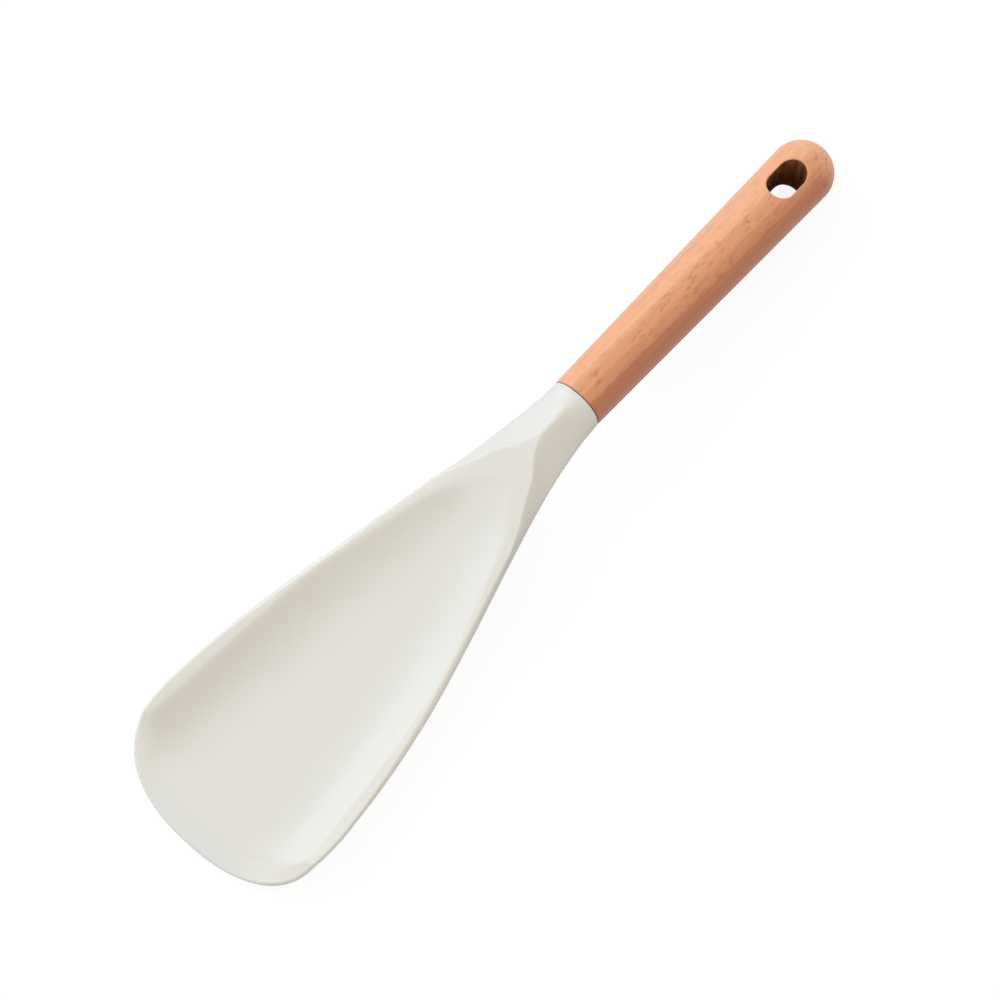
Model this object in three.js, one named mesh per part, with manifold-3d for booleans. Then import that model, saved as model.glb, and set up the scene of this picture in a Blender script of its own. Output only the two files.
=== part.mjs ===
// Spoon spatula: a moulded silicone scoop on a turned beech handle, lying on a table.
// Millimetres, +Z up. X runs along the tool with the handle end at +X, Y across it, and the table is z = 0.
// The origin lies on the table, in the middle of the tool's length and width.
import * as THREE from 'three';
import { mergeVertices } from 'three/addons/utils/BufferGeometryUtils.js';
import Module from 'manifold-3d';

// Handle
const HANDLE_LENGTH = 122.8;
const HANDLE_FRONT_RADIUS = 9.6;
const HANDLE_END_RADIUS = 11.2;
const HANDLE_CROWN = 11.1;
const HANDLE_EDGE_BREAK = 0.4;
const HANDLE_TILT_DEGREES = 6;
const HOLE_LENGTH = 15.4;
const HOLE_WIDTH = 9.9;
const HOLE_TO_END = 20.15;

// Head
const HEAD_LENGTH = 188;
const HEAD_HALF_WIDTH = 38.5;
const WIDEST_AT = 0.815;
const FRONT_FLATNESS = 3.4;
const CORNER_FULLNESS = 2.2;
const NECK_STEP = 0.05;
const RIM_HEIGHT = 13;
const FLOOR_THICKNESS = 4;
const LIP_THICKNESS = 1.7;
const LIP_LIFT = 1.7;
const LIP_EDGE = 0.8;
const LIP_RUN = 24.4;
const LIP_RISE_RUN = 28.2;
const CORNER_RUN = 22;
const CORNER_STEEPNESS = 2.5;
const NECK_LEAN_RUN = 37.6;
const RIDGE_LAND = 0.35;
const RIM_EDGE = 0.9;
const RIM_ROUNDING = 1;
const WALL_RUN = 21;
const DISH_START = 0.196;
const DISH_ROUNDNESS_BEHIND = 2.4;
const DISH_ROUNDNESS_AHEAD = 6;

// Core and its fixing in the handle
const CORE_THICKNESS = 1.6;
const CORE_HALF_WIDTH = 16;
const CORE_END = 0.875;
const CORE_CURL = 0.8;
const LOCK_HOLE_RADIUS = 3;
const LOCK_HOLE_SPREAD = 8;
const TANG_RADIUS = 4.2;
const TANG_LENGTH = 46;
const BARB_HEIGHT = 0.6;
const BARB_LAND = 1;
const BARB_ROOT = 1;
const BARB_COUNT = 5;
const ADHESIVE_THICKNESS = 1;

// Clearances
const SEAM_GAP = 0.3;
const MOULD_GAP = 0.3;
const BOND_GAP = 0.3;
const CUT_OVERRUN = 5;

// Facets
const TURNED_SEGMENTS = 40;
const HOLE_SEGMENTS = 12;
const HIDDEN_SEGMENTS = 20;
const CROWN_STEPS = 9;
const NECK_RIBS = 14;
const BOWL_RIBS = 20;
const CORNER_RIBS = 3;
const FRONT_RIBS = 14;
const OUTER_STEPS = 5;
const UNDER_STEPS = 10;
const CORE_SIDES = 20;
const CORE_END_STEPS = 6;
const DISH_SHARES = [0, 0.4, 0.62, 0.76, 0.87, 0.95];
const RIM_SHARES = [0, 0.25, 0.6];
const HALVINGS = 24;

// Sizes that follow from the ones above
const TILT = THREE.MathUtils.degToRad(HANDLE_TILT_DEGREES);
const TAPER_LENGTH = HANDLE_LENGTH - HANDLE_CROWN;
const NECK_RADIUS = HANDLE_FRONT_RADIUS - NECK_STEP;
const WIDEST = WIDEST_AT * HEAD_LENGTH;
const ADHESIVE_RADIUS = TANG_RADIUS + BOND_GAP + ADHESIVE_THICKNESS;
const SOCKET_RADIUS = ADHESIVE_RADIUS + BOND_GAP;
const SOCKET_DEPTH = TANG_LENGTH + 2 * BOND_GAP + ADHESIVE_THICKNESS;

// The handle's rounded end rests on the table, which sets the height of the seam at the other end.
const JOINT_HEIGHT = TAPER_LENGTH * Math.sin(TILT)
  + Math.hypot(HANDLE_CROWN * Math.sin(TILT), HANDLE_END_RADIUS * Math.cos(TILT));
const HANDLE_REACH = TAPER_LENGTH * Math.cos(TILT)
  + Math.hypot(HANDLE_CROWN * Math.cos(TILT), HANDLE_END_RADIUS * Math.sin(TILT));
const JOINT_X = (HEAD_LENGTH - HANDLE_REACH) / 2;

const wasm = await Module();
wasm.setup();

// A smooth curve through a few points that never overshoots them: a monotone cubic.
function curve(points) {
  const steps = points.slice(1).map((point, i) => point[0] - points[i][0]);
  const slopes = points.slice(1).map((point, i) => (point[1] - points[i][1]) / steps[i]);
  const tangents = points.map((_, i) => {
    if (i === 0) return slopes[0];
    if (i === points.length - 1) return slopes[i - 1];
    if (slopes[i - 1] * slopes[i] <= 0) return 0;
    const before = 2 * steps[i] + steps[i - 1];
    const after = steps[i] + 2 * steps[i - 1];
    return (before + after) / (before / slopes[i - 1] + after / slopes[i]);
  });
  return (x) => {
    if (x <= points[0][0]) return points[0][1];
    if (x >= points[points.length - 1][0]) return points[points.length - 1][1];
    const i = points.findIndex((point) => point[0] > x) - 1;
    const t = (x - points[i][0]) / steps[i];
    const rise = points[i + 1][1] - points[i][1];
    const bend = tangents[i] * steps[i] - rise;
    const counter = rise - tangents[i + 1] * steps[i];
    return points[i][1] + t * rise + t * (1 - t) * ((1 - t) * bend + t * counter);
  };
}

function blend(from, to, share) {
  return from + (to - from) * share;
}

function smoothStep(from, to, x) {
  return THREE.MathUtils.smoothstep(x, from, to);
}

// The lower of two heights, with the edge between them rounded
function softMinimum(a, b, rounding) {
  const near = Math.max(rounding - Math.abs(a - b), 0) / rounding;
  return Math.min(a, b) - near * near * rounding / 4;
}

// Share of a quarter arc's height at a share s of its run: round for powers of 2, a straight slope for 1.
function quarterArc(s, power, root = power) {
  return (1 - (1 - Math.min(s, 1)) ** power) ** (1 / root);
}

// Shape of the head, as shares of its length against shares of a size
const widthShare = curve([
  [0, 0], [0.043, 0.02], [0.106, 0.077], [0.186, 0.178], [0.293, 0.35],
  [0.426, 0.572], [0.585, 0.811], [0.718, 0.945], [WIDEST_AT, 1],
]);
const rimShare = curve([
  [0, 1], [0.09, 0.98], [0.2, 0.755], [0.32, 0.49], [0.48, 0.14], [0.64, 0.01], [0.8, 0],
]);
const underShare = curve([
  [0, 1], [0.106, 1.06], [0.213, 1], [0.293, 0.82], [0.372, 0.52], [0.452, 0.2], [0.52, 0.02], [0.56, 0],
]);
const depthShare = curve([
  [DISH_START, 0], [0.224, 0.08], [0.293, 0.42], [0.383, 0.62],
  [0.49, 0.81], [0.596, 0.91], [0.7, 0.97], [0.8, 1],
]);
const crestShare = curve([
  [0.09, 0], [0.122, 0.19], [0.16, 0.56], [0.197, 0.71], [0.234, 0.865], [0.273, 0.937],
]);
const sideDrop = curve([
  [0, NECK_RADIUS], [0.09, 8.6], [0.2, 6.2], [0.32, 4], [0.48, 2.4], [0.88, 1.8], [0.975, 1.3],
]);
const roofPower = curve([
  [0, 2], [0.035, 1.2], [0.07, 1.08], [0.14, 1.08], [0.21, 1.35], [0.3, 1.7], [0.45, 1.9],
]);

const RIDGE_HEIGHT = JOINT_HEIGHT + NECK_RADIUS;
const DISH_DEPTH = RIM_HEIGHT - FLOOR_THICKNESS;
const LIP_HEIGHT = LIP_LIFT + LIP_THICKNESS;

// Half the width of the head at a distance u from the seam; the front is a flattened ellipse.
function halfWidth(u) {
  if (u <= WIDEST) return blend(NECK_RADIUS, HEAD_HALF_WIDTH, widthShare(u / HEAD_LENGTH));
  const share = Math.min((u - WIDEST) / (HEAD_LENGTH - WIDEST), 1);
  return HEAD_HALF_WIDTH * (1 - share ** FRONT_FLATNESS) ** (1 / CORNER_FULLNESS);
}

// The rim's height above the table: it falls from the neck's ridge and runs level along the bowl.
function wallHeight(u) {
  return blend(RIM_HEIGHT, RIDGE_HEIGHT, rimShare(u / HEAD_LENGTH));
}

// At the front corners the rim slopes down to the thin lip, steeply at first and then level.
function rimHeight(u) {
  const wall = wallHeight(u);
  const slope = ((HEAD_LENGTH - u) / CORNER_RUN) ** CORNER_STEEPNESS;
  return softMinimum(wall, blend(LIP_HEIGHT + LIP_EDGE, wall, slope), RIM_ROUNDING);
}

// Height of the head's widest line
function sideHeight(u) {
  return rimHeight(u) - sideDrop(u / HEAD_LENGTH);
}

// Underside along the middle: from the neck down to a flat sole, then up a little under the lip
function underHeight(u) {
  const neck = (JOINT_HEIGHT - NECK_RADIUS) * underShare(u / HEAD_LENGTH);
  return neck + LIP_LIFT * smoothStep(HEAD_LENGTH - LIP_RISE_RUN, HEAD_LENGTH, u);
}

// Half the width of the flat land between the two outer slopes: the ridge, which opens into the rim
function crestHalf(u) {
  const half = halfWidth(u);
  return Math.max(RIDGE_LAND, Math.min(half * crestShare(u / HEAD_LENGTH), half - RIM_EDGE));
}

// Dish floor along the middle of the bowl
function floorHeight(u) {
  const bowl = wallHeight(u) - DISH_DEPTH * depthShare(u / HEAD_LENGTH);
  return blend(bowl, LIP_HEIGHT, smoothStep(HEAD_LENGTH - LIP_RUN, HEAD_LENGTH, u));
}

// Half the width of the dish where it meets the rim: a rounded arch behind, then parallel to the outline
const dishShare = curve([
  [0, 0], [0.13, 0.12], [0.208, 0.25], [0.31, 0.377],
  [0.43, 0.52], [0.588, 0.728], [0.714, 0.83], [0.83, 0.908],
]);
function dishHalf(u) {
  return HEAD_HALF_WIDTH * dishShare(Math.sqrt(Math.max(u / HEAD_LENGTH - DISH_START, 0)));
}

// Height of the hollow at a distance y from the middle; behind its rear arch it climbs clear of the head.
function dishHeight(u, y) {
  const ahead = smoothStep(0.25, 0.85, u / HEAD_LENGTH);
  const power = blend(DISH_ROUNDNESS_BEHIND, DISH_ROUNDNESS_AHEAD, ahead);
  const across = Math.min(y / Math.max(dishHalf(u), 0.05), 8);
  const depth = Math.max(wallHeight(u) - floorHeight(u), 0.02);
  const behind = Math.max(DISH_START * HEAD_LENGTH - u, 0);
  return wallHeight(u) + depth * (across ** power - 1) + behind;
}

// Places a point of the head. The neck's sections lean over to meet the tilted handle squarely.
function headPoint(u, y, z) {
  const axis = JOINT_HEIGHT + u * Math.tan(TILT);
  const lean = TILT * (1 - smoothStep(0, NECK_LEAN_RUN, u));
  const above = z - axis;
  return new THREE.Vector3(JOINT_X - u + above * Math.sin(lean), y, axis + above * Math.cos(lean));
}

// Joins closed rings of points to a closed body; a ring that has shrunk to a line or a point needs no cap.
function loft(rings) {
  const count = rings[0].length;
  const positions = rings.flat().flatMap((point) => [point.x, point.y, point.z]);
  const indices = [];
  for (let row = 0; row < rings.length - 1; row += 1) {
    for (let i = 0; i < count; i += 1) {
      const a = row * count + i;
      const b = row * count + (i + 1) % count;
      indices.push(a, b, a + count, b, b + count, a + count);
    }
  }
  const capEnds = [[0, false], [rings.length - 1, true]];
  for (const [row, last] of capEnds) {
    const middle = new THREE.Vector3();
    rings[row].forEach((point) => middle.add(point));
    middle.divideScalar(count);
    const hub = positions.length / 3;
    positions.push(middle.x, middle.y, middle.z);
    for (let i = 0; i < count; i += 1) {
      const a = row * count + i;
      const b = row * count + (i + 1) % count;
      if (last) indices.push(hub, a, b);
      else indices.push(hub, b, a);
    }
  }
  const geometry = new THREE.BufferGeometry();
  geometry.setAttribute('position', new THREE.Float32BufferAttribute(positions, 3));
  geometry.setIndex(indices);
  return geometry;
}

function toSolid(geometry) {
  const bare = geometry.clone();
  bare.deleteAttribute('normal');
  bare.deleteAttribute('uv');
  const merged = mergeVertices(bare, 1e-4);
  const index = merged.index.array;
  const kept = [];
  for (let i = 0; i < index.length; i += 3) {
    const [a, b, c] = [index[i], index[i + 1], index[i + 2]];
    if (a !== b && b !== c && c !== a) kept.push(a, b, c);
  }
  return new wasm.Manifold(new wasm.Mesh({
    numProp: 3,
    vertProperties: new Float32Array(merged.attributes.position.array),
    triVerts: new Uint32Array(kept),
  }));
}

function toGeometry(solid) {
  const mesh = solid.getMesh();
  const geometry = new THREE.BufferGeometry();
  const positions = new Float32Array(mesh.numVert * 3);
  for (let i = 0; i < mesh.numVert; i += 1) {
    for (let k = 0; k < 3; k += 1) positions[3 * i + k] = mesh.vertProperties[mesh.numProp * i + k];
  }
  geometry.setAttribute('position', new THREE.BufferAttribute(positions, 3));
  geometry.setIndex([...mesh.triVerts]);
  geometry.computeVertexNormals();
  return geometry;
}

// Turns a profile of [radius, distance along the axis] about the X axis.
function turned(profile, segments) {
  const points = profile.map(([radius, along]) => new THREE.Vector2(radius, along));
  return new THREE.LatheGeometry(points, segments).rotateZ(-Math.PI / 2);
}

function obround(length, width) {
  const straight = (length - width) / 2;
  const shape = new THREE.Shape();
  shape.absarc(straight, 0, width / 2, -Math.PI / 2, Math.PI / 2, false);
  shape.absarc(-straight, 0, width / 2, Math.PI / 2, 1.5 * Math.PI, false);
  return shape;
}

// Handle: a slow taper that grows towards a crowned end, with a blind socket in front and the hanging hole.
function handleGeometry() {
  const profile = [
    [0, SOCKET_DEPTH],
    [SOCKET_RADIUS, SOCKET_DEPTH],
    [SOCKET_RADIUS, 0],
    [HANDLE_FRONT_RADIUS - HANDLE_EDGE_BREAK, 0],
    [HANDLE_FRONT_RADIUS, HANDLE_EDGE_BREAK],
  ];
  for (let step = 0; step <= CROWN_STEPS; step += 1) {
    const angle = (step / CROWN_STEPS) * Math.PI / 2;
    const radius = step === CROWN_STEPS ? 0 : HANDLE_END_RADIUS * Math.cos(angle);
    profile.push([radius, TAPER_LENGTH + HANDLE_CROWN * Math.sin(angle)]);
  }
  const drillLength = 2 * (HANDLE_END_RADIUS + CUT_OVERRUN);
  const drill = new THREE.ExtrudeGeometry(obround(HOLE_LENGTH, HOLE_WIDTH), {
    depth: drillLength, bevelEnabled: false, curveSegments: HOLE_SEGMENTS,
  });
  drill.translate(HANDLE_LENGTH - HOLE_TO_END, 0, -drillLength / 2);
  return toGeometry(toSolid(turned(profile, TURNED_SEGMENTS)).subtract(toSolid(drill)));
}

// Outline of half the head as ribs: each runs from the outline to the middle line, and those of the front
// fan out from one point of the middle line.
function headRibs() {
  const shares = [];
  for (let step = 0; step < NECK_RIBS; step += 1) {
    shares.push((step / NECK_RIBS) * DISH_START);
  }
  for (let step = 0; step < BOWL_RIBS; step += 1) {
    shares.push(blend(DISH_START, WIDEST_AT, (step / BOWL_RIBS) ** 1.5));
  }
  const ribs = shares.map((share) => {
    const u = Math.max(share * HEAD_LENGTH, SEAM_GAP);
    return { u, half: halfWidth(u), root: u };
  });
  const cornerShare = Math.max(1 - CORNER_RUN / (HEAD_LENGTH - WIDEST), 0.2);
  const cornerAngle = Math.acos((1 - cornerShare ** FRONT_FLATNESS) ** (1 / CORNER_FULLNESS));
  for (let step = 0; step < CORNER_RIBS; step += 1) {
    const u = blend(WIDEST, HEAD_LENGTH, cornerShare * step / CORNER_RIBS);
    ribs.push({ u, half: halfWidth(u), root: WIDEST });
  }
  for (let step = 0; step <= FRONT_RIBS; step += 1) {
    const angle = blend(cornerAngle, Math.PI / 2, step / FRONT_RIBS);
    const share = (1 - Math.cos(angle) ** CORNER_FULLNESS) ** (1 / FRONT_FLATNESS);
    const u = blend(WIDEST, HEAD_LENGTH, share);
    ribs.push({ u, half: step === FRONT_RIBS ? 0 : halfWidth(u), root: WIDEST });
  }
  return ribs;
}

// Distance from a rib's root to the place where the hollow meets the rim
function dishEdge(rib, length, land) {
  let inside = 0;
  let outside = land;
  for (let step = 0; step < HALVINGS; step += 1) {
    const middle = (inside + outside) / 2;
    const u = blend(rib.root, rib.u, middle / length);
    const y = rib.half * (middle / length);
    if (dishHeight(u, y) < rimHeight(u)) inside = middle;
    else outside = middle;
  }
  return Math.min(inside, 0.97 * land);
}

// Insets from the outline at which the top of a rib has its points: across the dish, then over its edge
// and along the rim
function topInsets(rib, length, crest) {
  const land = length - crest;
  const edge = dishEdge(rib, length, land);
  const inside = DISH_SHARES.map((share) => share * edge);
  const along = RIM_SHARES.map((share) => blend(edge, land, share));
  return [...inside, ...along].map((reach) => length - reach);
}

// Half a section of the head along one rib, from the middle of the top round to the middle of the underside
function headSection(rib) {
  const length = Math.hypot(rib.half, rib.u - rib.root);
  const crest = rib.root === rib.u ? rib.half - crestHalf(rib.u) : RIM_EDGE;
  const side = sideHeight(rib.u);
  const power = roofPower(rib.u / HEAD_LENGTH);
  const roundness = smoothStep(0, 0.4, rib.u / HEAD_LENGTH);
  const run = Math.min(length, WALL_RUN);
  const place = (inset, height) => {
    const share = inset / length;
    const u = blend(rib.u, rib.root, share);
    const y = rib.half * (1 - share);
    return headPoint(u, y, height(u, y));
  };
  const hollowed = (roof) => (u, y) => softMinimum(roof(u), dishHeight(u, y), RIM_ROUNDING);
  const section = topInsets(rib, length, crest).map((inset) => place(inset, hollowed(rimHeight)));
  for (let step = OUTER_STEPS; step >= 1; step -= 1) {
    const share = step / OUTER_STEPS;
    const rise = (u) => blend(side, rimHeight(u), quarterArc(share, power));
    section.push(place(crest * share, hollowed(rise)));
  }
  section.push(place(0, () => side));
  for (let step = 1; step <= UNDER_STEPS; step += 1) {
    const share = 1 - Math.cos((step / UNDER_STEPS) * Math.PI / 2);
    const drop = quarterArc(share, blend(2, 2.6, roundness), blend(2, 1.2, roundness));
    section.push(place(run * share, (u) => blend(side, underHeight(u), drop)));
  }
  section.push(place(length, underHeight));
  return section;
}

function mirrored(section) {
  const back = section.slice(1, -1).reverse().map((point) => new THREE.Vector3(point.x, -point.y, point.z));
  return [...section, ...back];
}

// Core blade and tang: round in the handle and the neck, then a flat blade under the dish's floor.
// The same body grown by a clearance is the pocket that the silicone leaves round it.
const coreHalf = curve([[0, 0], [0.09, 0.02], [0.2, 0.2], [0.293, 0.34], [0.4, 0.68], [0.55, 1], [0.8, 1]]);
const coreThick = curve([
  [0, 1], [0.1, 0.85], [0.2, 0.55], [0.293, 0.35], [0.372, 0.12], [0.46, 0], [1, 0],
]);
const coreLevel = curve([[0, 0], [0.08, 0], [0.2, 0.55], [0.293, 1], [1, 1]]);

function coreGeometry(growth) {
  const rings = [];
  const tail = CORE_END * HEAD_LENGTH + growth;
  const stations = [-TANG_LENGTH * Math.cos(TILT) - growth, 0];
  for (const share of [0.05, 0.1, 0.14, 0.18, 0.22, 0.26, 0.3, 0.35, 0.4, 0.45, 0.5, 0.56, 0.65, 0.72]) {
    stations.push(share * HEAD_LENGTH);
  }
  const roundStart = tail - CORE_HALF_WIDTH;
  for (let step = 0; step <= CORE_END_STEPS; step += 1) {
    const angle = (step / CORE_END_STEPS) * 0.97 * Math.PI / 2;
    stations.push(roundStart + CORE_HALF_WIDTH * Math.sin(angle));
  }
  for (const u of stations) {
    const share = Math.max(u, 0) / HEAD_LENGTH;
    const tip = Math.sqrt(1 - (Math.max(u - roundStart, 0) / CORE_HALF_WIDTH) ** 2);
    const half = blend(TANG_RADIUS, CORE_HALF_WIDTH, coreHalf(share)) * tip + growth;
    const thick = blend(CORE_THICKNESS / 2, TANG_RADIUS, coreThick(share)) + growth;
    const axis = JOINT_HEIGHT + u * Math.tan(TILT);
    const middle = (floorHeight(u) + underHeight(u)) / 2;
    const level = blend(axis, middle, coreLevel(share));
    const squareness = blend(2, 4, smoothStep(0.1, 0.4, share));
    const curl = CORE_CURL * smoothStep(0.4, 0.55, share) * tip;
    const ring = [];
    for (let i = 0; i < CORE_SIDES; i += 1) {
      const angle = (-i / CORE_SIDES) * 2 * Math.PI;
      const across = Math.sign(Math.cos(angle)) * Math.abs(Math.cos(angle)) ** (2 / squareness);
      const up = Math.sign(Math.sin(angle)) * Math.abs(Math.sin(angle)) ** (2 / squareness);
      ring.push(headPoint(u, half * across, level + thick * up + curl * across * across));
    }
    rings.push(ring);
  }
  return loft(rings);
}

// Posts through the blade: holes in the core, pillars of silicone in the head
function lockPosts(radius) {
  const spots = [[0.5, 0], [0.6, 1], [0.6, -1], [0.7, 0], [0.78, 1], [0.78, -1]];
  const length = 2 * (FLOOR_THICKNESS + CUT_OVERRUN);
  return spots.map(([share, side]) => {
    const post = new THREE.CylinderGeometry(radius, radius, length, HIDDEN_SEGMENTS);
    post.rotateX(Math.PI / 2);
    post.translate(JOINT_X - share * HEAD_LENGTH, side * LOCK_HOLE_SPREAD, FLOOR_THICKNESS / 2);
    return toSolid(post);
  });
}

function without(solid, cutters) {
  return cutters.reduce((rest, cutter) => rest.subtract(cutter), solid);
}

// Barbs round the tang, each a cone that is steep towards the handle's mouth
function barbRings(growth) {
  const pitch = TANG_LENGTH / (BARB_COUNT + 1);
  const barbs = [];
  for (let i = 0; i < BARB_COUNT; i += 1) {
    const start = (i + 0.75) * pitch;
    const root = TANG_RADIUS - BARB_ROOT;
    const crest = TANG_RADIUS + BARB_HEIGHT + growth;
    const end = start + pitch / 2 + growth;
    barbs.push(toSolid(turned([
      [0, start - growth],
      [crest, start - growth],
      [crest, start + BARB_LAND],
      [root + growth, end],
      [0, end],
    ], HIDDEN_SEGMENTS)));
  }
  return barbs;
}

const handleFrame = new THREE.Matrix4()
  .makeRotationY(TILT)
  .setPosition(JOINT_X, 0, JOINT_HEIGHT);

function inHandleFrame(solid) {
  return toSolid(toGeometry(solid).applyMatrix4(handleFrame));
}

function coreSolid() {
  const body = without(toSolid(coreGeometry(0)), lockPosts(LOCK_HOLE_RADIUS));
  return barbRings(0).reduce((whole, barb) => whole.add(inHandleFrame(barb)), body);
}

function headSolid() {
  const outside = toSolid(loft(headRibs().map((rib) => mirrored(headSection(rib)))));
  const pocket = without(toSolid(coreGeometry(MOULD_GAP)), lockPosts(LOCK_HOLE_RADIUS - MOULD_GAP));
  return outside.subtract(pocket);
}

// Adhesive: a cup that fills the socket round the tang and its barbs
function adhesiveGeometry() {
  const inner = TANG_RADIUS + BOND_GAP;
  const bottom = TANG_LENGTH + BOND_GAP;
  const cup = toSolid(turned([
    [0, bottom],
    [inner, bottom],
    [inner, SEAM_GAP],
    [ADHESIVE_RADIUS, SEAM_GAP],
    [ADHESIVE_RADIUS, bottom + ADHESIVE_THICKNESS],
    [0, bottom + ADHESIVE_THICKNESS],
  ], HIDDEN_SEGMENTS));
  return toGeometry(without(cup, barbRings(BOND_GAP)));
}

const beech = new THREE.MeshStandardMaterial({ color: 0xdea57a, roughness: 0.6, metalness: 0 });
const silicone = new THREE.MeshStandardMaterial({ color: 0xebe8df, roughness: 0.55, metalness: 0 });
const nylon = new THREE.MeshStandardMaterial({ color: 0xf2f0ea, roughness: 0.5, metalness: 0 });
const adhesive = new THREE.MeshStandardMaterial({ color: 0xd9b26a, roughness: 0.3, metalness: 0 });

function named(name, geometry, material) {
  const mesh = new THREE.Mesh(geometry, material);
  mesh.name = name;
  return mesh;
}

const spatula = new THREE.Group();
const handle = new THREE.Group();
handle.position.set(JOINT_X, 0, JOINT_HEIGHT);
handle.rotation.y = TILT;
handle.add(named('beech_handle', handleGeometry(), beech));
handle.add(named('tang_adhesive', adhesiveGeometry(), adhesive));
spatula.add(handle);
spatula.add(named('silicone_head', toGeometry(headSolid()), silicone));
spatula.add(named('nylon_core', toGeometry(coreSolid()), nylon));

export default spatula;
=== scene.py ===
import math

import bmesh
import bpy
import numpy as np
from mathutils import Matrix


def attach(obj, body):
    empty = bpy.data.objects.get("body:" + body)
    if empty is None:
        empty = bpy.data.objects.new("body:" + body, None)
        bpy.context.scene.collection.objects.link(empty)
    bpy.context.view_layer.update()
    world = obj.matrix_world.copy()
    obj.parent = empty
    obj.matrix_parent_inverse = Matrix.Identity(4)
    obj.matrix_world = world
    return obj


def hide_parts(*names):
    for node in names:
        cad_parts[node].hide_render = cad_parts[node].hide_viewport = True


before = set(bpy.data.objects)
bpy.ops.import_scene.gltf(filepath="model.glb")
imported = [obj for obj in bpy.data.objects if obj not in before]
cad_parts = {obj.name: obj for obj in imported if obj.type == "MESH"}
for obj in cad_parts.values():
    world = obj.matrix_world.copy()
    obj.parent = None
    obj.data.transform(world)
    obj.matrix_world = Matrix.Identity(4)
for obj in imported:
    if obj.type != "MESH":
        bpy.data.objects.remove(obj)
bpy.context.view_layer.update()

MM = 0.001

# Handle, in millimetres
HANDLE_LENGTH = 122.8
HANDLE_FRONT_RADIUS = 9.6
HANDLE_END_RADIUS = 11.2
HANDLE_CROWN = 11.1
HANDLE_EDGE_BREAK = 0.5
HOLE_LENGTH = 15.4
HOLE_WIDTH = 9.9
HOLE_TO_END = 20.15
HOLE_ROUNDING = 0.7

# Angle by which the handle falls from the seam to its end
HANDLE_TILT = math.radians(6)

# Head, in millimetres, with its powers and shares
HEAD_LENGTH = 188.0
HEAD_HALF_WIDTH = 38.5
WIDEST_AT = 0.815
FRONT_FLATNESS = 3.4
CORNER_FULLNESS = 2.2
NECK_STEP = 0.05
NECK_EDGE_BREAK = 0.4
RIM_HEIGHT = 13.0
FLOOR_THICKNESS = 4.0
LIP_THICKNESS = 1.7
LIP_LIFT = 1.7
LIP_EDGE = 0.8
LIP_RUN = 24.4
LIP_RISE_RUN = 28.2
CORNER_RUN = 22.0
CORNER_STEEPNESS = 2.5
NECK_LEAN_RUN = 37.6
RIDGE_LAND = 0.35
RIM_EDGE = 0.9
RIM_ROUNDING = 1.0
DISH_EDGE_ROUNDING = 1.5
LAND_REACH = 7.0
WALL_RUN = 21.0
WALL_POWER = 2.6
WALL_ROOT = 1.2
CIRCLE_POWER = 2
DISH_START = 0.196
DISH_ROUNDNESS_BEHIND = 2.4
DISH_ROUNDNESS_AHEAD = 6.0
DISH_LEAST_HALF = 0.05
DISH_LEAST_DEPTH = 0.02
DISH_CLIMB_LIMIT = 8
SEAM_GAP = 0.3

# Stretches over which a form of the head changes, as shares of its length
NECK_TO_SCOOP = (0, 0.4)
CREST_NARROWS = (0.45, WIDEST_AT)
DISH_EDGE_SOFTENS = (0.25, 0.5)
DISH_SQUARES = (0.25, 0.85)

# Sizes that follow from the ones above
TAPER_LENGTH = HANDLE_LENGTH - HANDLE_CROWN
HOLE_AT = HANDLE_LENGTH - HOLE_TO_END
NECK_RADIUS = HANDLE_FRONT_RADIUS - NECK_STEP
WIDEST = WIDEST_AT * HEAD_LENGTH
JOINT_HEIGHT = TAPER_LENGTH * math.sin(HANDLE_TILT) + math.hypot(
    HANDLE_CROWN * math.sin(HANDLE_TILT), HANDLE_END_RADIUS * math.cos(HANDLE_TILT))
HANDLE_REACH = TAPER_LENGTH * math.cos(HANDLE_TILT) + math.hypot(
    HANDLE_CROWN * math.cos(HANDLE_TILT), HANDLE_END_RADIUS * math.sin(HANDLE_TILT))
JOINT_X = (HEAD_LENGTH - HANDLE_REACH) / 2
RIDGE_HEIGHT = JOINT_HEIGHT + NECK_RADIUS
DISH_DEPTH = RIM_HEIGHT - FLOOR_THICKNESS
LIP_HEIGHT = LIP_LIFT + LIP_THICKNESS

# Mesh of the head: numbers of points and rings, and in millimetres where they stand closer
FLOOR_POINTS = 34
EDGE_POINTS = 30
SIDE_POINTS = 16
SIDE_CROWDING = 1.4
WALL_POINTS = 26
SOLE_POINTS = 8
EDGE_BAND = 9.0
SEAM_FACE_SHARES = (0, 0.92, 1)
SEAM_EDGE_DEGREES = (25, 50, 70)
NECK_RINGS = 110
NECK_RINGS_END = 70.0
BOWL_RINGS = 80
FAN_RIBS = 90

# Mesh of the handle: numbers of sides, rings and steps, with shares and a power that space them
HANDLE_SIDES = 96
FRONT_FACE_SHARES = (0, 0.9)
FRONT_EDGE_RINGS = 5
TAPER_RINGS = 50
CROWN_RINGS = 26
HOLE_EDGE_RINGS = 7
HOLE_WALL_RINGS = 13
FIELD_RINGS = 16
FIELD_CROWDING = 1.3
FIELD_STEPS = 24
FIELD_FLATTENING = 0.8

# Field of the handle's mesh round each mouth of the hole, in millimetres
FIELD_BEHIND_HOLE = 15.0
FIELD_PAST_HOLE = 12.5
FIELD_START = HOLE_AT - FIELD_BEHIND_HOLE
FIELD_END = HOLE_AT + FIELD_PAST_HOLE

# Points of a mesh that lie closer than this, in metres, are joined
WELD_DISTANCE = 1e-7

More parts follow.
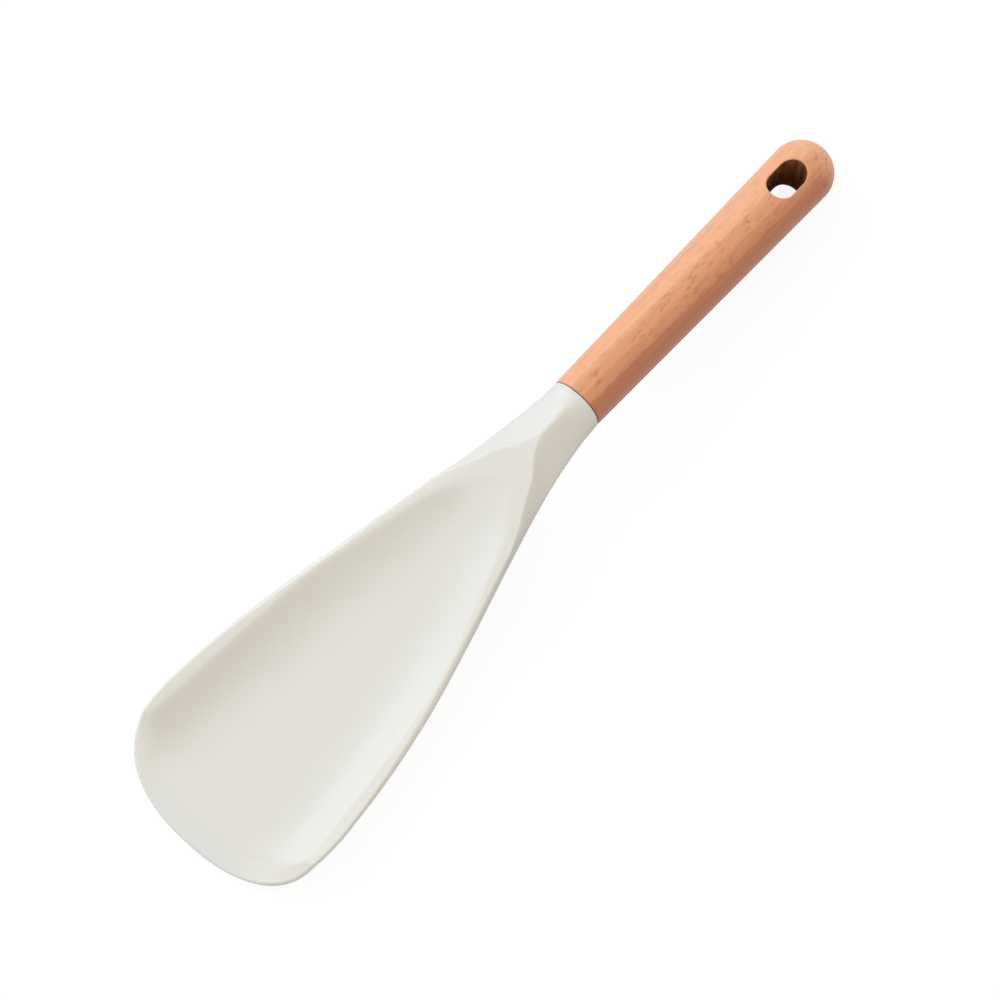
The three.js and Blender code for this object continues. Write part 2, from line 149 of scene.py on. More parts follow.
# Beech, in millimetres: the pith lies beside and above the handle's axis, and bands go by their distance
PITH_ASIDE = 61.0
PITH_ABOVE = 10.0
BAND_LEAN = 0.03
BAND_DRIFT = 1.6
BAND_JITTER = 1.4
# Bands run from pale near the pith to reddish far from it: real growth lines, with painted sheen and light
# on the lit top and +Y side and painted shade on the -Y side
GROWTH_BANDS_AND_PAINTED_SHADE = [
    (50.0, (0.87, 0.42, 0.225)), (56.6, (0.88, 0.43, 0.23)), (57.7, (0.78, 0.355, 0.18)),
    (59.2, (0.758, 0.34, 0.168)), (62.0, (0.765, 0.335, 0.165)), (63.0, (0.695, 0.285, 0.132)),
    (64.4, (0.705, 0.29, 0.138)), (65.5, (0.665, 0.27, 0.124)), (66.2, (0.52, 0.19, 0.083)),
    (67.0, (0.535, 0.2, 0.088)), (68.0, (0.51, 0.185, 0.085)), (72.0, (0.52, 0.2, 0.1))]
FLECKS_BEGIN = (56.2, 58.2)
FLECKS_END = (67.2, 66.0)
FLECKS_ELSEWHERE = 0.35
FLECK_LEVELS = (0.53, 0.67)
CLUSTER_LEVELS = (0.3, 0.5)
FLECK_STRENGTH = 0.56
FLECK_COLOUR = (0.42, 0.145, 0.06)
# Painted light on the handle's rounded end, which the lamps leave darker
END_PAINTED_LIGHT_STRENGTH = 0.9
END_PAINTED_LIGHT_COLOUR = (0.95, 0.53, 0.31)

# Marks of the beech to a metre, along the grain and across it, with the detail of their noise
SLOW_WAVES = (8, 50, 1.0)
QUICK_WAVES = (150, 420, 2.0)
STREAKS = (16, 480, 3.0)
FIBRES = (55, 1500, 2.0)
FLECKS = (300, 900, 2.5)
FLECK_CLUSTERS = (70, 170, 2.0)

# Stage, in metres, watts and degrees: the floor lies just under the sole
FLOOR_AT = -0.0001
FLOOR_HALF = 2.0
FLOOR_LIT = 0.4
FLOOR_SEEN = 0.14
FLOOR_GLOW = 0.89
KEY_PLACE = (-0.09, 1.08, 0.69)
KEY_SIZE = 0.9
KEY_POWER = 8.8
KEY_COLOUR = (0.62, 0.79, 1.0)
SKY_COLOUR = (1.0, 0.96, 0.918)
SKY_STRENGTH = 0.856
CAMERA_PLACE = (-0.15493, -0.18796, 0.9578)
CAMERA_DEGREES = (14.005, 2.271, -47.596)
CAMERA_NEAREST = 0.01

# Lens and sensor of the camera, in millimetres
LENS_LENGTH = 108
SENSOR_WIDTH = 36

WHITE = (1, 1, 1)


def curve(points):
    """A smooth curve through a few points that never overshoots them: a monotone cubic."""
    x = np.array([point[0] for point in points], float)
    y = np.array([point[1] for point in points], float)
    steps = np.diff(x)
    slopes = np.diff(y) / steps
    tangents = np.concatenate([slopes[:1], np.zeros(len(x) - 2), slopes[-1:]])
    for i in range(1, len(x) - 1):
        if slopes[i - 1] * slopes[i] > 0:
            before = 2 * steps[i] + steps[i - 1]
            after = steps[i] + 2 * steps[i - 1]
            tangents[i] = (before + after) / (before / slopes[i - 1] + after / slopes[i])

    def value(at):
        at = np.clip(np.asarray(at, float), x[0], x[-1])
        i = np.clip(np.searchsorted(x, at, side="right") - 1, 0, len(x) - 2)
        t = (at - x[i]) / steps[i]
        rise = y[i + 1] - y[i]
        bend = tangents[i] * steps[i] - rise
        counter = rise - tangents[i + 1] * steps[i]
        return y[i] + t * rise + t * (1 - t) * ((1 - t) * bend + t * counter)

    return value


def blend(start, end, share):
    return start + (end - start) * share


def smooth_step(start, end, x):
    t = np.clip((np.asarray(x, float) - start) / (end - start), 0, 1)
    return t * t * (3 - 2 * t)


def quarter_arc(s, power, root):
    """A quarter of an arc that rises from 0 to 1; a power and a root of 2 make it round."""
    return (1 - (1 - np.minimum(s, 1)) ** power) ** (1 / root)


def soft_minimum(a, b, rounding):
    """The lower of two heights, with the edge between them rounded."""
    near = np.maximum(rounding - np.abs(a - b), 0) / rounding
    return np.minimum(a, b) - near * near * rounding / 4


# Shape of the head: curves along shares of its length; the last one takes the root of the dish's share
width_share = curve([
    (0, 0), (0.043, 0.02), (0.106, 0.077), (0.186, 0.178), (0.293, 0.35),
    (0.426, 0.572), (0.585, 0.811), (0.718, 0.945), (WIDEST_AT, 1)])
rim_share = curve([
    (0, 1), (0.09, 0.98), (0.2, 0.755), (0.32, 0.49), (0.48, 0.14), (0.64, 0.01), (0.8, 0)])
under_share = curve([
    (0, 1), (0.106, 1.06), (0.213, 1), (0.293, 0.82), (0.372, 0.52), (0.452, 0.2), (0.52, 0.02), (0.56, 0)])
depth_share = curve([
    (DISH_START, 0), (0.224, 0.08), (0.293, 0.42), (0.383, 0.62), (0.49, 0.81), (0.596, 0.91), (0.7, 0.97),
    (0.8, 1)])
crest_share = curve([
    (0.09, 0), (0.122, 0.19), (0.16, 0.56), (0.197, 0.71), (0.234, 0.865), (0.273, 0.937)])
side_drop = curve([
    (0, NECK_RADIUS), (0.09, 8.6), (0.2, 6.2), (0.32, 4), (0.48, 2.4), (0.88, 1.8), (0.975, 1.3)])
roof_power = curve([
    (0, 2), (0.035, 1.4), (0.07, 1.15), (0.14, 1.08), (0.21, 1.35), (0.3, 1.7), (0.45, 1.9)])
land_slope = curve([
    (0.2, 0), (0.3, -0.05), (0.42, 0.05), (0.58, 0.15), (0.75, 0.19), (0.88, 0.24), (1, 0.25)])
dish_share = curve([
    (0, 0), (0.13, 0.12), (0.208, 0.25), (0.31, 0.377), (0.43, 0.52), (0.588, 0.728), (0.714, 0.83),
    (0.83, 0.908)])


# Heights and widths of the head at a distance u from the seam and y from the middle line
def half_width(u):
    share = np.clip((u - WIDEST) / (HEAD_LENGTH - WIDEST), 0, 1)
    front = HEAD_HALF_WIDTH * (1 - share ** FRONT_FLATNESS) ** (1 / CORNER_FULLNESS)
    behind = blend(NECK_RADIUS, HEAD_HALF_WIDTH, width_share(u / HEAD_LENGTH))
    return np.where(u <= WIDEST, behind, front)


def wall_height(u):
    return blend(RIM_HEIGHT, RIDGE_HEIGHT, rim_share(u / HEAD_LENGTH))


def rim_height(u):
    wall = wall_height(u)
    slope = ((HEAD_LENGTH - u) / CORNER_RUN) ** CORNER_STEEPNESS
    return soft_minimum(wall, blend(LIP_HEIGHT + LIP_EDGE, wall, slope), RIM_ROUNDING)


def side_height(u):
    return rim_height(u) - side_drop(u / HEAD_LENGTH)


def under_height(u):
    neck = (JOINT_HEIGHT - NECK_RADIUS) * under_share(u / HEAD_LENGTH)
    return neck + LIP_LIFT * smooth_step(HEAD_LENGTH - LIP_RISE_RUN, HEAD_LENGTH, u)


def crest_half(u):
    half = half_width(u)
    return np.maximum(RIDGE_LAND, np.minimum(half * crest_share(u / HEAD_LENGTH), half - RIM_EDGE))


def floor_height(u):
    bowl = wall_height(u) - DISH_DEPTH * depth_share(u / HEAD_LENGTH)
    return blend(bowl, LIP_HEIGHT, smooth_step(HEAD_LENGTH - LIP_RUN, HEAD_LENGTH, u))


def dish_half(u):
    return HEAD_HALF_WIDTH * dish_share(np.sqrt(np.maximum(u / HEAD_LENGTH - DISH_START, 0)))


def dish_height(u, y):
    """Height of the hollow; behind its rear arch it climbs clear of the head and cuts nothing."""
    ahead = smooth_step(*DISH_SQUARES, u / HEAD_LENGTH)
    power = blend(DISH_ROUNDNESS_BEHIND, DISH_ROUNDNESS_AHEAD, ahead)
    half = np.maximum(dish_half(u), DISH_LEAST_HALF)
    depth = np.maximum(wall_height(u) - floor_height(u), DISH_LEAST_DEPTH)
    behind = np.maximum(DISH_START * HEAD_LENGTH - u, 0)
    climb = np.minimum(np.abs(y) / half, DISH_CLIMB_LIMIT) ** power - 1
    return wall_height(u) + depth * climb + behind


def axis_height(u):
    """Height of the handle's axis, carried on through the head."""
    return JOINT_HEIGHT + u * math.tan(HANDLE_TILT)


def head_point(u, y, z):
    """Places a point of the head. The neck's sections lean over to meet the tilted handle squarely."""
    axis = axis_height(u)
    lean = HANDLE_TILT * (1 - smooth_step(0, NECK_LEAN_RUN, u))
    above = z - axis
    return np.stack([JOINT_X - u + above * np.sin(lean), y + 0 * u, axis + above * np.cos(lean)], -1)


def head_section(u_out, half, root):
    """A closed ring over a rib from the middle line at root to the edge at u_out, and its mirror image."""
    length = math.hypot(half, u_out - root)
    share = u_out / HEAD_LENGTH
    side = float(side_height(u_out))

    def rib(insets):
        return blend(u_out, root, insets / length), half * (1 - insets / length)

    crest = float(blend(half - crest_half(u_out), RIM_EDGE, smooth_step(*CREST_NARROWS, share)))
    band = min(EDGE_BAND, (length - crest) / 2)
    insets = np.concatenate([
        np.linspace(length, crest + band, FLOOR_POINTS, endpoint=False),
        np.linspace(crest + band, crest, EDGE_POINTS, endpoint=False),
        crest * (1 - np.linspace(0, 1, SIDE_POINTS) ** SIDE_CROWDING)])
    u, y = rib(insets)
    power = float(roof_power(share))
    fall = float(land_slope(share)) * np.clip(insets - crest, 0, LAND_REACH)
    roof = blend(side, rim_height(u), quarter_arc(insets / crest, power, power)) - fall
    rounding = float(blend(RIM_ROUNDING, DISH_EDGE_ROUNDING, smooth_step(*DISH_EDGE_SOFTENS, share)))
    top = head_point(u, y, soft_minimum(roof, dish_height(u, y), rounding))

    run = min(length, WALL_RUN)
    down = 1 - np.cos(np.linspace(0, 1, WALL_POINTS + 1)[1:] * math.pi / 2)
    insets = np.concatenate([run * down, np.linspace(run, length, SOLE_POINTS + 1)[1:]])
    u, y = rib(insets)
    scoop = float(smooth_step(*NECK_TO_SCOOP, share))
    power = blend(CIRCLE_POWER, WALL_POWER, scoop)
    drop = quarter_arc(insets / run, power, blend(CIRCLE_POWER, WALL_ROOT, scoop))
    under = head_point(u, y, blend(side, under_height(u), drop))

    section = np.concatenate([top, under])
    mirrored = section[-2:0:-1] * np.array([1, -1, 1])
    return np.concatenate([section, mirrored])


def head_rings():
    """Closed rings of points from the seam to the tip; the front ones fan out from the widest section."""
    start = SEAM_GAP + NECK_EDGE_BREAK
    first = head_section(start, float(half_width(start)), start)
    middle = head_point(np.array(start), np.array(0.0), np.array(axis_height(start)))
    spokes = first - middle
    outwards = np.array([math.cos(HANDLE_TILT), 0, -math.sin(HANDLE_TILT)]) * NECK_EDGE_BREAK
    edge_share = NECK_EDGE_BREAK / NECK_RADIUS
    rings = [middle + outwards + spokes * share * (1 - edge_share) for share in SEAM_FACE_SHARES]
    for angle in np.radians(SEAM_EDGE_DEGREES):
        shrink = 1 - edge_share * (1 - math.sin(angle))
        rings.append(middle + outwards * math.cos(angle) + spokes * shrink)
    neck = np.linspace(start, NECK_RINGS_END, NECK_RINGS, endpoint=False)
    bowl = np.linspace(NECK_RINGS_END, WIDEST, BOWL_RINGS, endpoint=False)
    for u in np.concatenate([neck, bowl]):
        rings.append(head_section(u, float(half_width(u)), u))
    for angle in np.linspace(0, math.pi / 2, FAN_RIBS):
        share = (1 - max(math.cos(angle), 0) ** CORNER_FULLNESS) ** (1 / FRONT_FLATNESS)
        u = blend(WIDEST, HEAD_LENGTH, share)
        half = 0.0 if share >= 1 else float(half_width(u))
        rings.append(head_section(u, half, WIDEST))
    return np.array(rings)


# Rings of the handle, along its own axis from the seam
def handle_radius(x):
    taper = blend(HANDLE_FRONT_RADIUS, HANDLE_END_RADIUS, np.clip(x / TAPER_LENGTH, 0, 1))
    crown = HANDLE_END_RADIUS * np.sqrt(np.clip(1 - ((x - TAPER_LENGTH) / HANDLE_CROWN) ** 2, 0, 1))
    return np.where(x > TAPER_LENGTH, crown, taper)


def handle_ring(x, radius):
    angles = np.linspace(-math.pi, math.pi, HANDLE_SIDES + 1)[:-1]
    return np.stack([np.full(HANDLE_SIDES, x), radius * np.sin(angles), radius * np.cos(angles)], -1)


def handle_front():
    """From the middle of the seam's face over its broken edge and up the taper to the hole's fields."""
    face_radius = HANDLE_FRONT_RADIUS - HANDLE_EDGE_BREAK
    rings = [handle_ring(0, share * face_radius) for share in FRONT_FACE_SHARES]
    for angle in np.linspace(0, math.pi / 2, FRONT_EDGE_RINGS):
        x = HANDLE_EDGE_BREAK * (1 - math.cos(angle))
        rings.append(handle_ring(x, face_radius + HANDLE_EDGE_BREAK * math.sin(angle)))
    for x in np.linspace(HANDLE_EDGE_BREAK, FIELD_START, TAPER_RINGS)[1:]:
        rings.append(handle_ring(x, float(handle_radius(x))))
    return np.array(rings)


def handle_crown():
    """From the hole's fields to the end of the handle."""
    rings = []
    first = math.asin((FIELD_END - TAPER_LENGTH) / HANDLE_CROWN)
    for angle in np.linspace(first, math.pi / 2, CROWN_RINGS):
        x = TAPER_LENGTH + HANDLE_CROWN * math.sin(angle)
        rings.append(handle_ring(x, HANDLE_END_RADIUS * math.cos(angle)))
    return np.array(rings)


def hole_outline(directions, grow):
    """Points of the obround outline, grown by a distance, in given directions from its middle."""
    radius = HOLE_WIDTH / 2 + grow
    straight = (HOLE_LENGTH - HOLE_WIDTH) / 2
    points = []
    for dx, dy in directions:
        size = math.hypot(dx, dy)
        ux, uy = abs(dx) / size, abs(dy) / size
        if ux * radius <= straight * uy:
            reach = radius / uy
        else:
            reach = ux * straight + math.sqrt(radius * radius - (uy * straight) ** 2)
        points.append((math.copysign(reach * ux, dx), math.copysign(reach * uy, dy)))
    return np.array(points)


def field_border():
    """Places along the handle and angles round it where the field round a mouth of the hole ends."""
    angles = np.linspace(-math.pi / 2, math.pi / 2, HANDLE_SIDES // 2 + 1)
    places = np.linspace(FIELD_START, FIELD_END, FIELD_STEPS + 1)
    border = [(FIELD_END, angle) for angle in angles[:-1]]
    border += [(place, math.pi / 2) for place in places[::-1][:-1]]
    border += [(FIELD_START, angle) for angle in angles[::-1][:-1]]
    border += [(place, -math.pi / 2) for place in places[:-1]]
    return np.array(border)


def hole_mouth(side):
    """From the hole's wall over its rounded edge to the field's border, above (1) or below (-1)."""
    border = field_border()
    aside = border[:, 1] * HANDLE_END_RADIUS * FIELD_FLATTENING
    directions = np.stack([border[:, 0] - HOLE_AT, aside], -1)
    rings = []
    for angle in np.linspace(0, math.pi / 2, HOLE_EDGE_RINGS):
        outline = hole_outline(directions, HOLE_ROUNDING * (1 - math.cos(angle)))
        x = HOLE_AT + outline[:, 0]
        z = np.sqrt(handle_radius(x) ** 2 - outline[:, 1] ** 2) - HOLE_ROUNDING * (1 - math.sin(angle))
        rings.append(np.stack([x, outline[:, 1], side * z], -1))
    edge = hole_outline(directions, HOLE_ROUNDING)
    edge_angle = np.arcsin(edge[:, 1] / handle_radius(HOLE_AT + edge[:, 0]))
    for share in np.linspace(0, 1, FIELD_RINGS + 1)[1:] ** FIELD_CROWDING:
        x = blend(HOLE_AT + edge[:, 0], border[:, 0], share)
        angle = blend(edge_angle, border[:, 1], share)
        radius = handle_radius(x)
        rings.append(np.stack([x, radius * np.sin(angle), side * radius * np.cos(angle)], -1))
    return np.array(rings)


def handle_placed(rings):
    """Tilts rings of the handle and brings them to the seam."""
    cosine, sine = math.cos(HANDLE_TILT), math.sin(HANDLE_TILT)
    turn = np.array([[cosine, 0, sine], [0, 1, 0], [-sine, 0, cosine]])
    return rings @ turn.T + np.array([JOINT_X, 0, JOINT_HEIGHT])


def handle_strips(outside, inside):
    """The handle's rings with their materials, one for its outside and one for the hole's wall."""
    upper, lower = hole_mouth(1), hole_mouth(-1)
    wall = np.array([blend(upper[0], lower[0], share) for share in np.linspace(0, 1, HOLE_WALL_RINGS)])
    strips = [(rings, outside) for rings in (handle_front(), handle_crown(), upper, lower)]
    return [(handle_placed(rings), material) for rings, material in strips + [(wall, inside)]]


def built(name, strips):
    """A closed smooth mesh over strips of closed rings, in millimetres, each with its material."""
    materials = list(dict.fromkeys(material for _, material in strips))
    points, faces, slots = [], [], []
    for rings, material in strips:
        rows, count = rings.shape[:2]
        index = len(points) + np.arange(rows * count).reshape(rows, count)
        right = np.roll(index, -1, axis=1)
        quads = np.stack([index[:-1], right[:-1], right[1:], index[1:]], -1).reshape(-1, 4)
        points.extend((rings.reshape(-1, 3) * MM).tolist())
        faces.extend(quads.tolist())
        slots.extend([materials.index(material)] * len(quads))
    mesh = bpy.data.meshes.new(name)
    mesh.from_pydata(points, [], faces)
    for material in materials:
        mesh.materials.append(material)
    for face, slot in zip(mesh.polygons, slots):
        face.material_index = slot
    shape = bmesh.new()
    shape.from_mesh(mesh)
    bmesh.ops.remove_doubles(shape, verts=shape.verts, dist=WELD_DISTANCE)
    bmesh.ops.dissolve_degenerate(shape, edges=shape.edges, dist=WELD_DISTANCE)
    bmesh.ops.recalc_face_normals(shape, faces=shape.faces)
    for face in shape.faces:
        face.smooth = True
    shape.to_mesh(mesh)
    shape.free()
    piece = bpy.data.objects.new(name, mesh)
    bpy.context.scene.collection.objects.link(piece)
    return piece


# Nodes of the materials
def plug(tree, socket, value):
    """Links another node's output to a socket, or sets a plain value on it."""
    if isinstance(value, bpy.types.NodeSocket):
        tree.links.new(value, socket)
    else:
        socket.default_value = value


def add(tree, kind, inputs=None, **settings):
    node = tree.nodes.new(kind)
    for key, value in settings.items():
        setattr(node, key, value)
    for key, value in (inputs or {}).items():
        plug(tree, node.inputs[key], value)
    return node


def reckon(tree, operation, a, b):
    return add(tree, "ShaderNodeMath", {0: a, 1: b}, operation=operation).outputs[0]


def mix_colours(tree, share, a, b, blend_type="MIX"):
    inputs = {0: share, 6: a, 7: b}
    return add(tree, "ShaderNodeMix", inputs, data_type="RGBA", blend_type=blend_type).outputs[2]


def ramp(tree, value, stops):
    """Colours along a value, each stop a place from 0 to 1 and a colour."""
    node = add(tree, "ShaderNodeValToRGB", {"Fac": value})
    elements = node.color_ramp.elements
    while len(elements) < len(stops):
        elements.new(0.5)
    for element, (position, shade) in zip(elements, stops):
        element.position = position
        element.color = (*shade, 1)
    return node.outputs["Color"]


def between(tree, value, low, high):
    """Where a value lies between two others, from 0 at the low one to 1 at the high one."""
    inputs = {"Value": value, "From Min": low, "From Max": high}
    return add(tree, "ShaderNodeMapRange", inputs).outputs["Result"]


def shifted(tree, value, other, amount):
    """A value moved up and down by another one that varies about a half."""
    centred = reckon(tree, "SUBTRACT", other, 0.5)
    return reckon(tree, "ADD", value, reckon(tree, "MULTIPLY", centred, amount))


def object_place(tree):
    return add(tree, "ShaderNodeTexCoord").outputs["Object"]


def noise(tree, place, scale, detail):
    inputs = {"Vector": place, "Scale": scale, "Detail": detail}
    return add(tree, "ShaderNodeTexNoise", inputs).outputs["Fac"]


def stretched_noise(tree, place, scales, detail):
    """Noise with a scale of its own along each axis."""
    stretched = add(tree, "ShaderNodeMapping", {"Vector": place, "Scale": scales})
    return noise(tree, stretched.outputs[0], 1.0, detail)


def mottle_group():
    """Cloudy change of a colour, with a fine pebbled height and an uneven roughness."""
    group = bpy.data.node_groups.new("surface_mottle", "ShaderNodeTree")
    group.interface.new_socket("Colour", in_out="INPUT", socket_type="NodeSocketColor")
    for name in ("Cloud Scale", "Cloud Amount", "Pebble Scale", "Roughness", "Roughness Spread"):
        group.interface.new_socket(name, in_out="INPUT", socket_type="NodeSocketFloat")
    group.interface.new_socket("Colour", in_out="OUTPUT", socket_type="NodeSocketColor")
    for name in ("Height", "Roughness"):
        group.interface.new_socket(name, in_out="OUTPUT", socket_type="NodeSocketFloat")
    given = group.nodes.new("NodeGroupInput").outputs
    result = group.nodes.new("NodeGroupOutput").inputs
    place = object_place(group)
    clouds = noise(group, place, given["Cloud Scale"], 4.0)
    level = shifted(group, 1.0, clouds, given["Cloud Amount"])
    tinted = add(group, "ShaderNodeVectorMath", {0: given["Colour"], "Scale": level}, operation="SCALE")
    plug(group, result["Colour"], tinted.outputs[0])
    plug(group, result["Height"], noise(group, place, given["Pebble Scale"], 3.0))
    roughness = shifted(group, given["Roughness"], clouds, given["Roughness Spread"])
    plug(group, result["Roughness"], roughness)
    return group


MOTTLE = mottle_group()


def mottled(tree, colour, cloud_amount, cloud_scale, pebble_scale, roughness, spread):
    return add(tree, "ShaderNodeGroup", node_tree=MOTTLE, inputs={
        "Colour": colour, "Cloud Amount": cloud_amount, "Cloud Scale": cloud_scale,
        "Pebble Scale": pebble_scale, "Roughness": roughness, "Roughness Spread": spread}).outputs


def seen_rays(tree):
    """One for rays from the camera and in reflections, and nought for the light that falls on things."""
    rays = add(tree, "ShaderNodeLightPath").outputs
    return reckon(tree, "MAXIMUM", rays["Is Camera Ray"], rays["Is Glossy Ray"])


# Materials; heights of their relief are in metres
def new_finish(name):
    material = bpy.data.materials.new(name)
    material.use_nodes = True
    return material, material.node_tree, material.node_tree.nodes["Principled BSDF"].inputs


def dress(tree, shader, surface, height, strength, distance):
    """Gives a shader the colour and the roughness of a mottled surface, with a relief."""
    relief = add(tree, "ShaderNodeBump", {"Strength": strength, "Distance": distance, "Height": height})
    plug(tree, shader["Base Color"], surface["Colour"])
    plug(tree, shader["Roughness"], surface["Roughness"])
    plug(tree, shader["Normal"], relief.outputs["Normal"])


def moulded(name, colour, roughness, pebble_scale, pebble_height, cloud_amount=0.03):
    """A moulded finish: even colour with faint clouds, fine pebbles and uneven gloss."""
    material, tree, shader = new_finish(name)
    surface = mottled(tree, (*colour, 1), cloud_amount=cloud_amount, cloud_scale=60.0,
                      pebble_scale=pebble_scale, roughness=roughness, spread=0.25)
    dress(tree, shader, surface, surface["Height"], strength=0.35, distance=pebble_height)
    return material


def silicone_finish():
    material = moulded("ivory_silicone", (0.76, 0.74, 0.675), roughness=0.52,
                       pebble_scale=2600.0, pebble_height=0.00004)
    shader = material.node_tree.nodes["Principled BSDF"].inputs
    shader["Subsurface Weight"].default_value = 0.5
    shader["Subsurface Radius"].default_value = (1.0, 0.85, 0.6)
    shader["Subsurface Scale"].default_value = 0.0025
    shader["Specular IOR Level"].default_value = 0.35
    return material


def nylon_finish():
    return moulded("natural_nylon", (0.8, 0.78, 0.72), roughness=0.45,
                   pebble_scale=1500.0, pebble_height=0.00003)


def adhesive_finish():
    return moulded("amber_adhesive", (0.55, 0.36, 0.12), roughness=0.22,
                   pebble_scale=700.0, pebble_height=0.00005, cloud_amount=0.2)


def beech_finish():
    """Oiled beech: leaning bands from pale to reddish, which are real growth lines with painted sheen and
    light on the lit top and +Y side and painted shade on the -Y side, soft streaks, clustered flecks and
    painted light on the end.
    """
    material, tree, shader = new_finish("oiled_beech")
    grain = add(tree, "ShaderNodeMapping", vector_type="TEXTURE", inputs={
        "Vector": object_place(tree), "Location": (JOINT_X * MM, 0, JOINT_HEIGHT * MM),
        "Rotation": (0, HANDLE_TILT, 0)}).outputs[0]
    along = add(tree, "ShaderNodeSeparateXYZ", {"Vector": grain}).outputs["X"]
    from_axis_to_pith = (0, -PITH_ASIDE * MM, -PITH_ABOVE * MM)
    across = add(tree, "ShaderNodeMapping", {
        "Vector": grain, "Scale": (0, 1, 1), "Location": from_axis_to_pith}).outputs[0]

    def marks(kind):
        lengthwise, sideways, detail = kind
        return stretched_noise(tree, grain, (lengthwise, sideways, sideways), detail)

    def product(a, b):
        return reckon(tree, "MULTIPLY", a, b)

    from_pith = add(tree, "ShaderNodeVectorMath", {0: across}, operation="LENGTH").outputs["Value"]
    # The bands lean paler towards the end, part of the painted light on the end
    leaning = reckon(tree, "SUBTRACT", from_pith, product(along, BAND_LEAN))
    drifting = shifted(tree, leaning, marks(SLOW_WAVES), BAND_DRIFT * MM)
    band = shifted(tree, drifting, marks(QUICK_WAVES), BAND_JITTER * MM)
    first, last = GROWTH_BANDS_AND_PAINTED_SHADE[0][0], GROWTH_BANDS_AND_PAINTED_SHADE[-1][0]
    stops = [((distance - first) / (last - first), shade) for distance, shade in GROWTH_BANDS_AND_PAINTED_SHADE]
    # The grain's own bands, with painted sheen and light on the lit side and painted shade on the shaded
    # side
    grain_tone_and_painted_shade = ramp(tree, between(tree, band, first * MM, last * MM), stops)
    streaks = ramp(tree, marks(STREAKS), [(0.32, (0.925, 0.9, 0.88)), (0.56, WHITE)])
    fibres = marks(FIBRES)
    fine = ramp(tree, fibres, [(0.3, (0.955, 0.94, 0.93)), (0.55, WHITE)])
    timber = mix_colours(tree, 1.0, mix_colours(tree, 1.0, grain_tone_and_painted_shade, streaks, "MULTIPLY"), fine, "MULTIPLY")
    # Painted light: the rounded end is mixed towards a pale colour
    painted_light_on_end = between(tree, along, TAPER_LENGTH * MM, HANDLE_LENGTH * MM)
    timber = mix_colours(tree, product(painted_light_on_end, END_PAINTED_LIGHT_STRENGTH), timber, (*END_PAINTED_LIGHT_COLOUR, 1))

    begun, ended = [between(tree, band, low * MM, high * MM) for low, high in (FLECKS_BEGIN, FLECKS_END)]
    middle = product(product(begun, ended), 1 - FLECKS_ELSEWHERE)
    thickness = reckon(tree, "ADD", middle, FLECKS_ELSEWHERE)
    clusters = between(tree, marks(FLECK_CLUSTERS), *CLUSTER_LEVELS)
    flecks = product(product(between(tree, marks(FLECKS), *FLECK_LEVELS), clusters), thickness)
    colour = mix_colours(tree, product(flecks, FLECK_STRENGTH), timber, (*FLECK_COLOUR, 1))
    surface = mottled(tree, colour, cloud_amount=0.14, cloud_scale=210.0,
                      pebble_scale=3000.0, roughness=0.42, spread=0.3)
    height = reckon(tree, "SUBTRACT", product(fibres, 0.4), flecks)
    dress(tree, shader, surface, height, strength=0.35, distance=0.00012)
    return material


def bored_finish():
    """The raw wall of the hanging hole, with marks of the cutter along it; its dark brown is the bored end
    grain's own darker tone and painted shade in the hole.
    """
    material, tree, shader = new_finish("bored_beech")
    shaded_cutter_marks = stretched_noise(tree, object_place(tree), (500, 500, 90), 4.0)
    # Dark browns of the hole's wall: the bored end grain's darker tone and painted shade in the hole
    colour = ramp(tree, shaded_cutter_marks, [(0.35, (0.17, 0.058, 0.022)), (0.7, (0.36, 0.15, 0.07))])
    surface = mottled(tree, colour, cloud_amount=0.2, cloud_scale=300.0,
                      pebble_scale=2400.0, roughness=0.85, spread=0.2)
    dress(tree, shader, surface, shaded_cutter_marks, strength=0.4, distance=0.0001)
    shader["Specular IOR Level"].default_value = 0.02
    return material


def floor_finish():
    """A pale matt floor that the camera and reflections see as white, with the object's shadow on it."""
    material, tree, shader = new_finish("white_floor")
    seen = seen_rays(tree)
    lit_grey, seen_grey = [(level, level, level, 1) for level in (FLOOR_LIT, FLOOR_SEEN)]
    plug(tree, shader["Base Color"], mix_colours(tree, seen, lit_grey, seen_grey))
    shader["Roughness"].default_value = 0.9
    shader["Specular IOR Level"].default_value = 0.0
    shader["Emission Color"].default_value = (*WHITE, 1)
    plug(tree, shader["Emission Strength"], reckon(tree, "MULTIPLY", seen, FLOOR_GLOW))
    return material


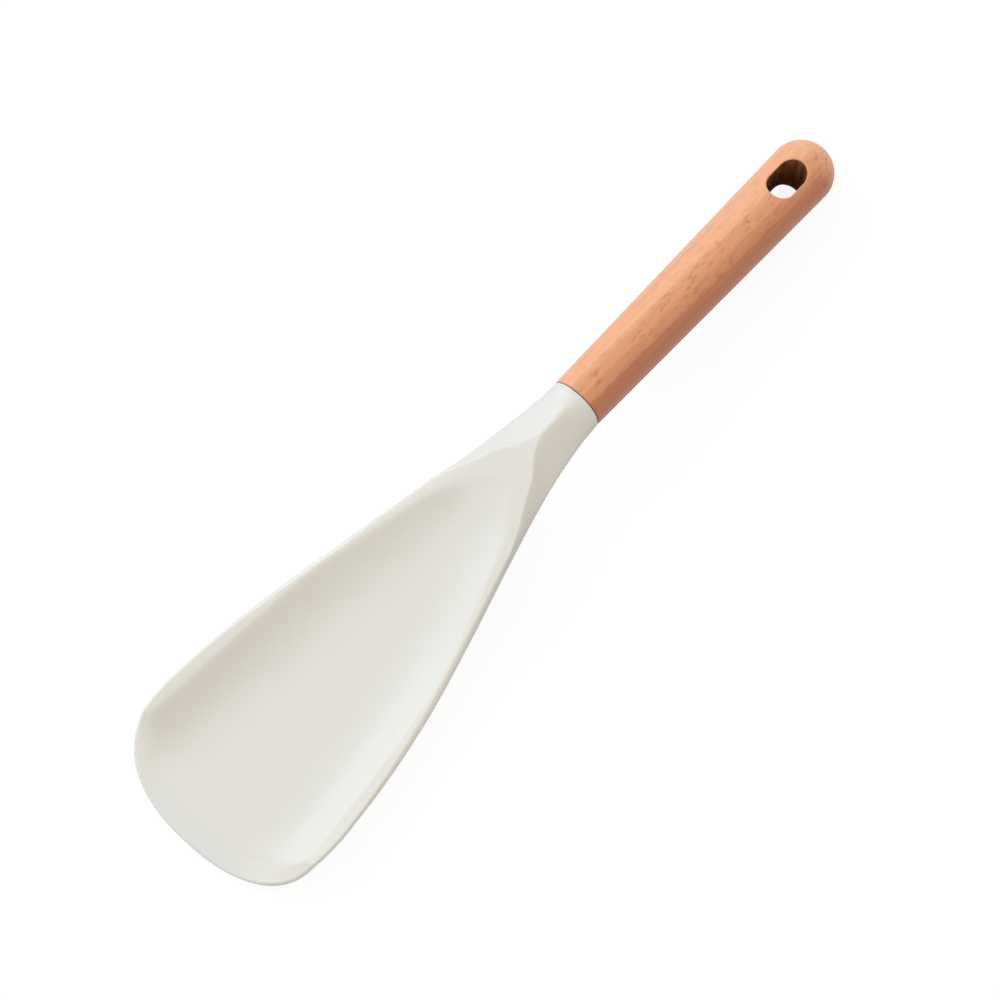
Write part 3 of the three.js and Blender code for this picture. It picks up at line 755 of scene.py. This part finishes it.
# Stage
def studio_floor():
    mesh = bpy.data.meshes.new("studio_floor")
    signs = ((-1, -1), (1, -1), (1, 1), (-1, 1))
    corners = [(x * FLOOR_HALF, y * FLOOR_HALF, FLOOR_AT) for x, y in signs]
    mesh.from_pydata(corners, [], [(0, 1, 2, 3)])
    mesh.materials.append(floor_finish())
    sheet = bpy.data.objects.new("studio_floor", mesh)
    bpy.context.scene.collection.objects.link(sheet)
    return sheet


def key_light():
    """A round soft box that faces the middle of the part."""
    light = bpy.data.lights.new("key_light", "AREA")
    light.shape = "DISK"
    light.color = KEY_COLOUR
    light.size = KEY_SIZE
    light.energy = KEY_POWER
    lamp = bpy.data.objects.new("key_light", light)
    bpy.context.scene.collection.objects.link(lamp)
    x, y, z = KEY_PLACE
    lamp.location = KEY_PLACE
    lamp.rotation_euler = (math.atan2(math.hypot(x, y), z), 0, math.atan2(x, -y))


def studio_world():
    """Even light from all round, seen as plain white by the camera and in reflections."""
    world = bpy.data.worlds.new("studio_world")
    world.use_nodes = True
    tree = world.node_tree
    seen = seen_rays(tree)
    sky = tree.nodes["Background"].inputs
    rest = reckon(tree, "MULTIPLY", seen, 1 - SKY_STRENGTH)
    plug(tree, sky["Color"], mix_colours(tree, seen, (*SKY_COLOUR, 1), (*WHITE, 1)))
    plug(tree, sky["Strength"], reckon(tree, "ADD", SKY_STRENGTH, rest))
    bpy.context.scene.world = world


def photo_camera():
    lens = bpy.data.cameras.new("photo_camera")
    lens.sensor_width = SENSOR_WIDTH
    lens.lens = LENS_LENGTH
    lens.clip_start = CAMERA_NEAREST
    camera = bpy.data.objects.new("photo_camera", lens)
    bpy.context.scene.collection.objects.link(camera)
    camera.location = CAMERA_PLACE
    camera.rotation_euler = [math.radians(angle) for angle in CAMERA_DEGREES]
    bpy.context.scene.camera = camera


# Pieces that stand in for the solids
head = built("scoop_head", [(head_rings(), silicone_finish())])
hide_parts("silicone_head")
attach(head, "root")

grip = built("turned_grip", handle_strips(beech_finish(), bored_finish()))
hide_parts("beech_handle")
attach(grip, "root")

# Finishes of the solids that stay
for node, finish in (("nylon_core", nylon_finish()), ("tang_adhesive", adhesive_finish())):
    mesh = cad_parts[node].data
    mesh.materials.clear()
    mesh.materials.append(finish)

floor = studio_floor()
key_light()
studio_world()
photo_camera()
bpy.context.scene.view_settings.view_transform = "Standard"

bpy.context.view_layer.update()
